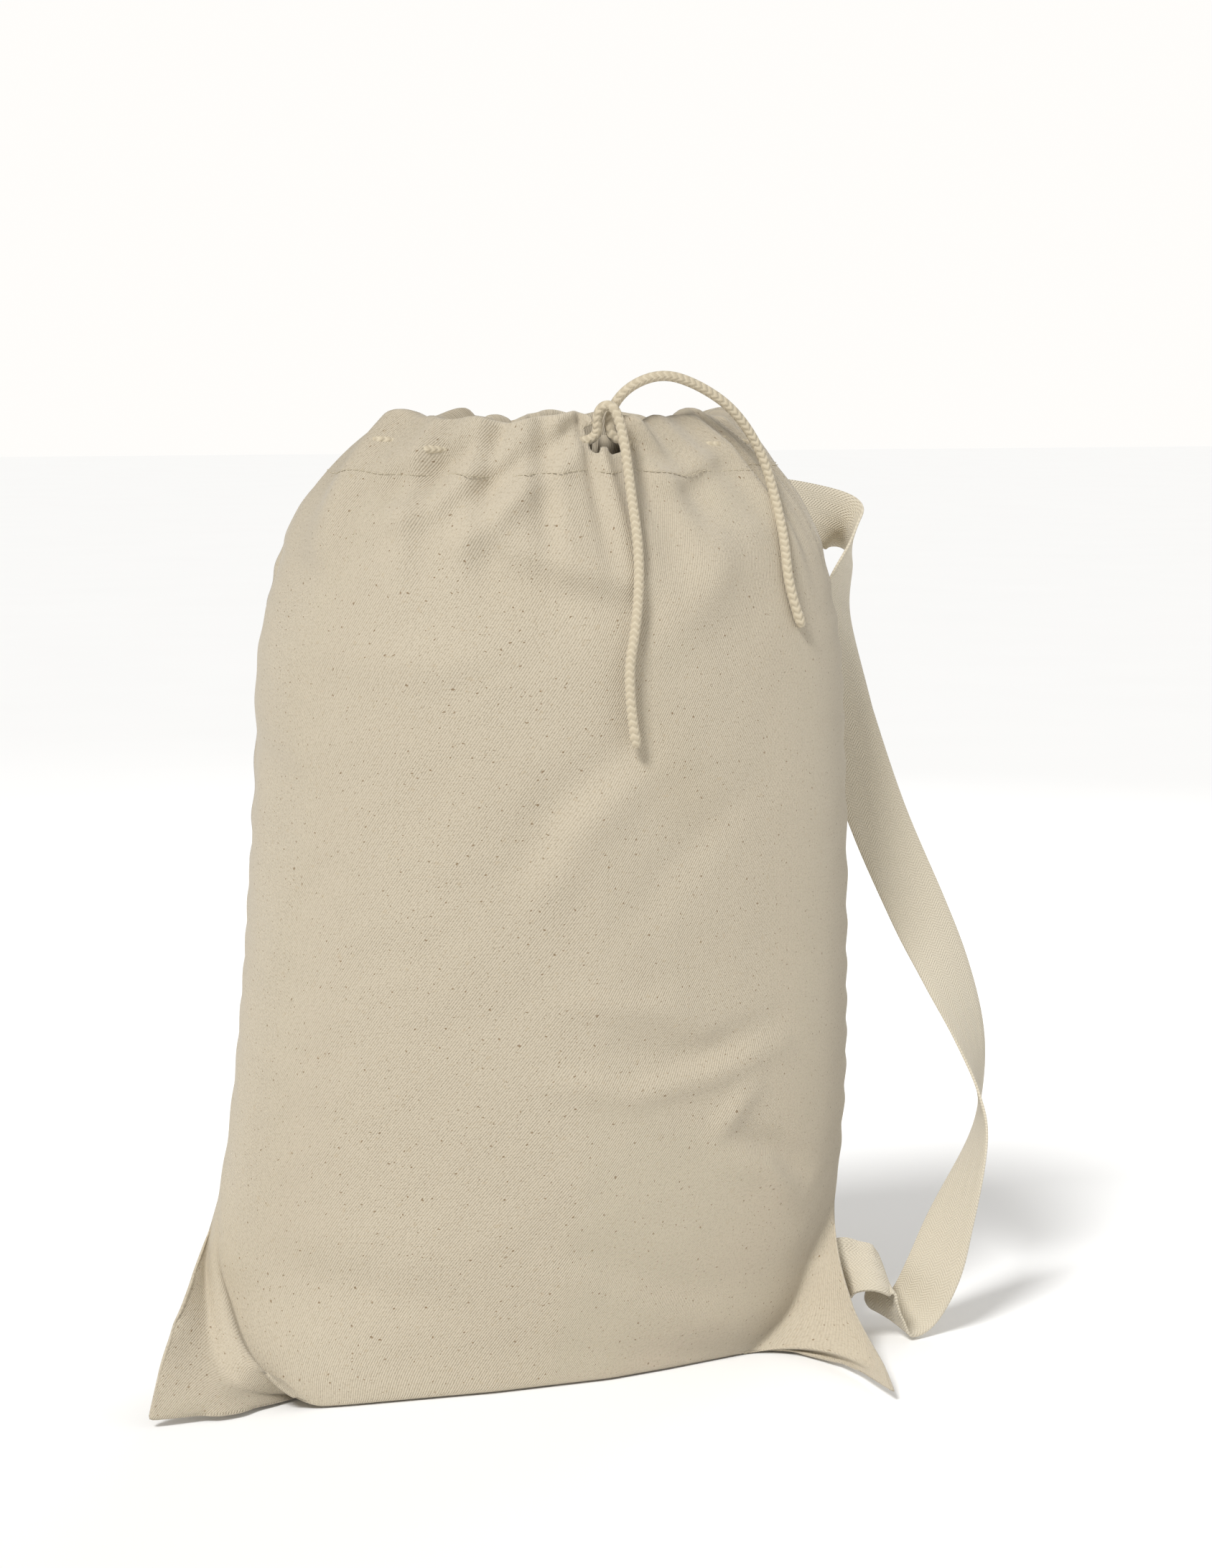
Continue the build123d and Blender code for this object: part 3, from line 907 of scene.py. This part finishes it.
def tube_along(name, line, radius_at, sides=TUBE_SIDES):
    """A closed tube round a line, with UV in metres: round it, then along it."""
    verts, faces, uvs = [], [], []
    normal = Vector((0, 0, 1))
    travelled = distances(line)
    wide = CORD_DIAMETER * math.pi / sides
    for index, point in enumerate(line):
        ahead = (line[min(index + 1, len(line) - 1)] - line[max(index - 1, 0)]).normalized()
        normal = (normal - ahead * normal.dot(ahead)).normalized()
        other = ahead.cross(normal)
        radius = radius_at(travelled[index], travelled[-1])
        for side in range(sides):
            turn = 2 * math.pi * side / sides
            verts.append(point + (normal * math.cos(turn) + other * math.sin(turn)) * radius)
    for ring in range(len(line) - 1):
        for side in range(sides):
            after = (side + 1) % sides
            faces.append((ring * sides + side, ring * sides + after,
                          (ring + 1) * sides + after, (ring + 1) * sides + side))
            low, high = travelled[ring], travelled[ring + 1]
            uvs += [(side * wide, low), ((side + 1) * wide, low),
                    ((side + 1) * wide, high), (side * wide, high)]
    for ring, turn in ((0, -1), (len(line) - 1, 1)):
        cap = [ring * sides + side for side in range(sides)]
        faces.append(tuple(cap[::turn]))
        uvs += [(0.0, travelled[ring])] * sides
    piece = new_piece(name, verts, faces, cord, uvs)
    face_outwards()
    bpy.ops.object.shade_smooth_by_angle(angle=math.radians(SMOOTH_UNDER))
    return piece


def cord_radius(travelled, whole):
    """The braid's own radius, with a dipped and swollen tip."""
    left = whole - travelled
    return CORD_DIAMETER / 2 * (1 + TIP_SWELL * math.exp(-((left - 0.006) / 0.003) ** 2)
                                - TIP_DIP * math.exp(-left / 0.0012))


for name, route, body in (("left_cord_tail", LEFT_TAIL, "left_tail"),
                          ("right_cord_tail", RIGHT_TAIL, "right_tail")):
    line = cord_line(route)
    length = round(line_length(line), 4)
    tail = tube_along(name, line, cord_radius)
    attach(tail, body)
    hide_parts("drawcord_" + body)
    print(name, length, "m")

# %% [markdown]
# ## Webbing strap
# The strap follows stations: a place and the direction across the webbing. A grid
# is laid along them, three pieces long: two sewn ends and a middle that follows the swing of the
# strap.

# %% Strap stations
STRAP_WIDTH, STRAP_THICKNESS = 0.040, 0.0018
STRAP_SIDE, STRAP_LOW, STRAP_HIGH = 0.230, 0.046, 0.536
STRAP = (
    ((-0.134, 0.0575, 1.006), (0.02, 0.44, -0.90)), ((-0.112, 0.054, 1.006), (0.03, 0.40, -0.91)),
    ((-0.086, 0.0545, 1.004), (0.14, -0.18, -0.97)), ((-0.050, 0.054, 1.004), (0.06, 0.00, -1.00)),
    ((-0.015, 0.054, 0.998), (-0.02, -0.18, -0.98)), ((0.004, 0.057, 0.988), (-0.10, -0.20, -0.97)),
    ((0.019, 0.061, 0.980), (-0.18, 0.05, -0.98)), ((0.026, 0.058, 0.972), (-0.02, 0.60, -0.80)),
    ((0.026, 0.052, 0.955), (0.21, 0.82, -0.53)), ((0.023, 0.049, 0.935), (0.40, 0.83, -0.38)),
    ((0.017, 0.047, 0.912), (0.52, 0.77, -0.38)), ((0.011, 0.044, 0.885), (0.66, 0.66, -0.36)),
    ((0.006, 0.040, 0.850), (0.81, 0.54, -0.21)), ((0.007, 0.038, 0.795), (0.95, 0.30, 0.10)),
    ((0.015, 0.037, 0.720), (0.96, 0.01, 0.28)), ((0.036, 0.032, 0.587), (0.94, -0.14, 0.32)),
    ((0.062, 0.024, 0.460), (0.95, -0.08, 0.30)), ((0.079, 0.014, 0.373), (0.93, 0.25, 0.22)),
    ((0.091, 0.002, 0.291), (0.80, 0.60, 0.00)), ((0.095, -0.008, 0.215), (0.45, 0.88, -0.12)),
    ((0.090, -0.016, 0.151), (0.12, 0.98, -0.16)), ((0.064, -0.031, 0.048), (-0.43, 0.90, -0.01)),
    ((0.050, -0.038, -0.011), (-0.58, 0.78, 0.23)), ((0.038, -0.036, -0.058), (-0.44, 0.80, 0.41)),
    ((0.023, -0.038, -0.076), (-0.32, 0.91, 0.26)), ((0.014, -0.041, -0.056), (-0.26, 0.96, 0.08)),
    ((0.013, -0.042, -0.034), (-0.08, 0.98, 0.12)), ((0.014, -0.043, -0.013), (0.18, 0.93, 0.32)),
    ((0.005, -0.045, 0.003), (0.26, 0.82, 0.51)), ((-0.006, -0.041, 0.005), (0.28, 0.70, 0.66)),
    ((-0.016, -0.035, 0.000), (-0.14, 0.18, 0.97)), ((-0.032, -0.026, -0.010), (-0.14, 0.18, 0.97)),
)
UPPER_SPLIT, LOWER_SPLIT = 2, len(STRAP) - 2
STEPS, WEFTS = 7, 9
BEND_FIRST, BEND_LAST, BEND_ROUNDS = 3 * STEPS, 14 * STEPS, 60


def between(before, start, end, after, t):
    """Smooth curve through start and end, t from 0 to 1."""
    pull_in, pull_out = (end - before) * 0.5, (after - start) * 0.5
    return (start * (1 + t * t * (2 * t - 3)) + end * (t * t * (3 - 2 * t))
            + pull_in * (t * (1 - t) ** 2) - pull_out * (t * t * (1 - t)))


def smooth_run(points):
    ends = [points[0]] + points + [points[-1]]
    fine = [between(*ends[i:i + 4], step / STEPS)
            for i in range(len(points) - 1) for step in range(STEPS)]
    return fine + [points[-1]]


def relax(values):
    """Evens out the upper bend, so that stiff webbing turns without a pinch."""
    for number in range(BEND_ROUNDS):
        before = list(values)
        for i in range(BEND_FIRST, BEND_LAST):
            values[i] = before[i - 1] * 0.25 + before[i] * 0.5 + before[i + 1] * 0.25
    return values


STRAP_RISE = STRAP_HIGH - STRAP_LOW
spots = smooth_run([Vector((STRAP_SIDE + out, depth, STRAP_LOW + share * STRAP_RISE))
                    for (out, depth, share), across in STRAP])
sides = smooth_run([Vector(across) for place, across in STRAP])
spots = relax(spots)
sides = relax([side.normalized() for side in sides])
runs = distances(spots)
print("strap length", round(runs[-1], 3), "m")

# %% Webbing pieces
CUP, CUP_TURNS = 0.0007, 31.0                # the webbing cups a little, one way and the other
WEBBING_EDGE = 0.0006


def strap_ways(index):
    """Across the webbing and out of its face, at one place along it."""
    ahead = (spots[min(index + 1, len(spots) - 1)] - spots[max(index - 1, 0)]).normalized()
    side = (sides[index] - ahead * sides[index].dot(ahead)).normalized()
    return side, ahead.cross(side)


def webbing_piece(name, first, last):
    """A ribbon over places first to last, with UV in metres."""
    verts, faces, uvs = [], [], []
    for index in range(first, last + 1):
        side, lift = strap_ways(index)
        for weft in range(WEFTS):
            share = weft / (WEFTS - 1) * 2 - 1
            cup = CUP * (1 - share * share) * math.sin(runs[index] * CUP_TURNS)
            verts.append(spots[index] + side * (share * STRAP_WIDTH / 2) + lift * cup)
    rows = last - first
    for row in range(rows):
        for weft in range(WEFTS - 1):
            a = row * WEFTS + weft
            faces.append((a, a + 1, a + WEFTS + 1, a + WEFTS))
            low, high = runs[first + row], runs[first + row + 1]
            left, right = (column / (WEFTS - 1) * STRAP_WIDTH for column in (weft, weft + 1))
            uvs += [(left, low), (right, low), (right, high), (left, high)]
    piece = new_piece(name, verts, faces, webbing, uvs)
    shell = piece.modifiers.new("thickness", "SOLIDIFY")
    shell.thickness, shell.offset = STRAP_THICKNESS, 0.0
    bpy.ops.object.modifier_apply(modifier=shell.name)
    edge = piece.modifiers.new("edge", "BEVEL")
    edge.width, edge.segments, edge.limit_method = WEBBING_EDGE, 2, "ANGLE"
    bpy.ops.object.modifier_apply(modifier=edge.name)
    bpy.ops.object.shade_smooth_by_angle(angle=math.radians(60))
    return piece


upper_end = UPPER_SPLIT * STEPS              # the last place that is sewn to the back panel
lower_end = LOWER_SPLIT * STEPS              # the first place that is sewn into the side seam
upper_turned = upper_end + 2 * STEPS         # from here to the next, all follows the swing
lower_turned = lower_end - 4 * STEPS
upper = webbing_piece("strap_upper", 0, upper_turned)
middle = webbing_piece("strap_middle", upper_turned, lower_turned)
lower = webbing_piece("strap_lower", lower_turned, len(spots) - 1)
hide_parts("strap_upper_end")
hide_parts("shoulder_strap")
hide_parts("strap_lower_end", "strap_lower_stitching")
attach(middle, "strap")
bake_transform(upper)
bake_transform(lower)
print("strap pieces", [len(p.data.polygons) for p in (upper, middle, lower)])

# %% [markdown]
# ## Stitching
# One row of thread closes the hem. One stitch is a tiny bar with round ends; it is
# copied along the row, each copy laid in the cloth at its own place.

# %% Hem stitches
STITCH_LENGTH, STITCH_GAP, THREAD_RADIUS = 0.0030, 0.0009, 0.00038
STITCH_RINGS = ((0.0, 0.35), (0.2, 1.0), (0.8, 1.0), (1.0, 0.35))   # place along, then thickness
STITCH_SIDES = 6
STITCH_FACES = STITCH_SIDES * (len(STITCH_RINGS) - 1) + 2
STITCHES_UP = 0.031          # below the top edge of the cut


def stitch_row(name, line):
    """Stitches along a line of points on the cloth."""
    verts, faces = [], []
    at = 0.0
    travelled = distances(line)

    def spot(distance):
        index = min(max(int(np.searchsorted(travelled, distance)) - 1, 0), len(line) - 2)
        share = (distance - travelled[index]) / (travelled[index + 1] - travelled[index])
        return line[index].lerp(line[index + 1], min(max(share, 0), 1))

    while at + STITCH_LENGTH < travelled[-1]:
        a, b = spot(at), spot(at + STITCH_LENGTH)
        ahead = (b - a).normalized()
        up_way = Vector((0, 0, 1))
        side = ahead.cross(up_way).normalized()
        base = len(verts)
        for share, size in STITCH_RINGS:
            middle = a.lerp(b, share)
            for turn in range(STITCH_SIDES):
                angle = 2 * math.pi * turn / STITCH_SIDES
                verts.append(middle + (side * math.cos(angle) + up_way * math.sin(angle))
                             * THREAD_RADIUS * size)
        rings = [[base + ring * STITCH_SIDES + turn for turn in range(STITCH_SIDES)]
                 for ring in range(len(STITCH_RINGS))]
        for low, high in zip(rings, rings[1:]):
            for turn in range(STITCH_SIDES):
                after = (turn + 1) % STITCH_SIDES
                faces.append((low[turn], low[after], high[after], high[turn]))
        faces.append(tuple(rings[0][::-1]))
        faces.append(tuple(rings[-1]))
        at += STITCH_LENGTH + STITCH_GAP
    piece = new_piece(name, verts, faces, thread)
    face_outwards()
    bpy.ops.object.shade_smooth()
    return piece


def cloth_line(which, height, low, high, lift=0.0002):
    """Points of the settled cloth at one height of the cut, from seam to seam."""
    row = np.unique(np.round(up, 5))
    row = row[np.argmin(np.abs(row - height))]
    chosen = (np.abs(up - row) < SEWN_WITHIN) & which & (across >= low) & (across <= high)
    chosen = np.where(chosen)[0]
    chosen = chosen[np.argsort(across[chosen])]
    return [Vector(settled[i] + outward[i] * lift) for i in chosen]


on_seam = np.abs(across) > 0.999
rows = []
for name, which in (("front_hem_stitches", ~is_back | on_seam),
                    ("back_hem_stitches", is_back | on_seam)):
    rows.append(stitch_row(name, cloth_line(which, CUT_HEIGHT - STITCHES_UP, -1, 1)))
    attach(rows[-1], "bag")
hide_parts("hem_stitching")
print("stitches", [len(p.data.polygons) // STITCH_FACES for p in rows])

# %% [markdown]
# ## Cord inside the hem
# Between its two loose ends the cord runs round inside the hem, so it follows the
# gathers of the settled cloth, one canvas and half its own thickness further in.

# %% Cord in the hem
CORD_GAP = 0.0028            # between the canvas and the cord
CORD_IN = CANVAS_THICKNESS + CORD_DIAMETER / 2 + CORD_GAP
CORD_BELOW_EDGE = 0.018
RUN_RIGHT, RUN_LEFT = 0.0725, 0.0335         # where it starts and ends, at the exit


def hem_cord_line(height):
    """From the right of the exit, round the back, to the left of the exit."""
    front_row = cloth_line(~is_back | on_seam, height, -1, 1, -CORD_IN)
    back_row = cloth_line(is_back | on_seam, height, -0.99, 0.99, -CORD_IN)
    right = [p for p in front_row if p.x > RUN_RIGHT]
    left = [p for p in front_row if p.x < RUN_LEFT]
    return right + back_row[::-1] + left


def plain_radius(travelled, whole):
    return CORD_DIAMETER / 2


run = tube_along("hem_cord", hem_cord_line(CUT_HEIGHT - CORD_BELOW_EDGE), plain_radius, sides=10)
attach(run, "bag")
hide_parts("drawcord_run")
print("cord in hem", len(run.data.polygons), "faces")

# %% [markdown]
# ## The strap's sewn end
# A box of stitches holds the upper end of the webbing flat on the back panel.

# %% Strap stitches
BOX_SHARE = 0.8              # of the half width of the webbing


def strap_point(index, share):
    """A point on the strap's outer face; share counts half widths from its middle."""
    side, lift = strap_ways(index)
    if lift.y < 0:
        lift = -lift
    return spots[index] + side * (share * STRAP_WIDTH / 2) + lift * (STRAP_THICKNESS / 2)


far, near = upper_end - 2, 1
box_line = ([strap_point(i, BOX_SHARE) for i in range(near, far + 1)]
            + [strap_point(far, share) for share in (0.4, 0.0, -0.4)]
            + [strap_point(i, -BOX_SHARE) for i in range(far, near - 1, -1)]
            + [strap_point(near, share) for share in (-0.4, 0.0, 0.4, BOX_SHARE)])
box_row = stitch_row("strap_box_stitches", box_line)
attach(box_row, "bag")
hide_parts("strap_upper_stitching")
print("box stitches", len(box_row.data.polygons) // STITCH_FACES)
